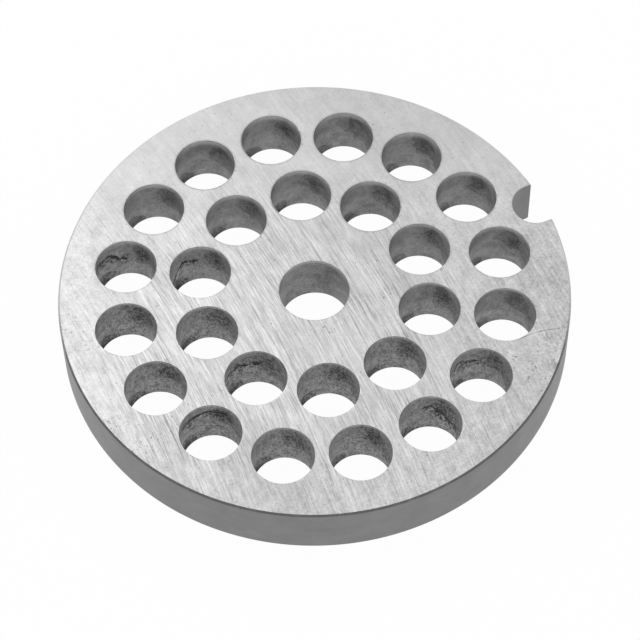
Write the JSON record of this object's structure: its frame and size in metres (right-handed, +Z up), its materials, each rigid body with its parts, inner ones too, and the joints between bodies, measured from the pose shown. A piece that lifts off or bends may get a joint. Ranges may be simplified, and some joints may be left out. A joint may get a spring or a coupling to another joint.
{
  "type": "meat grinder plate",
  "caption": "Flat round steel plate with concentric rings of drilled grinding holes, a plain centre bore and a round-bottomed locating notch in the rim.",
  "frame": {"origin": "on the plate's axis at the lower face", "axes": "+Z up along the plate's axis, +X from the axis through the middle of the locating notch, +Y completes the right hand"},
  "size_m": [0.0818, 0.082, 0.0098],
  "materials": {
    "ground_steel": "surface-ground faces with fine curved grinding lines, darker turned rim and rougher drilled hole walls"
  },
  "bodies": {
    "root": {"grinder_plate": "ground_steel"}
  },
  "joints": []
}
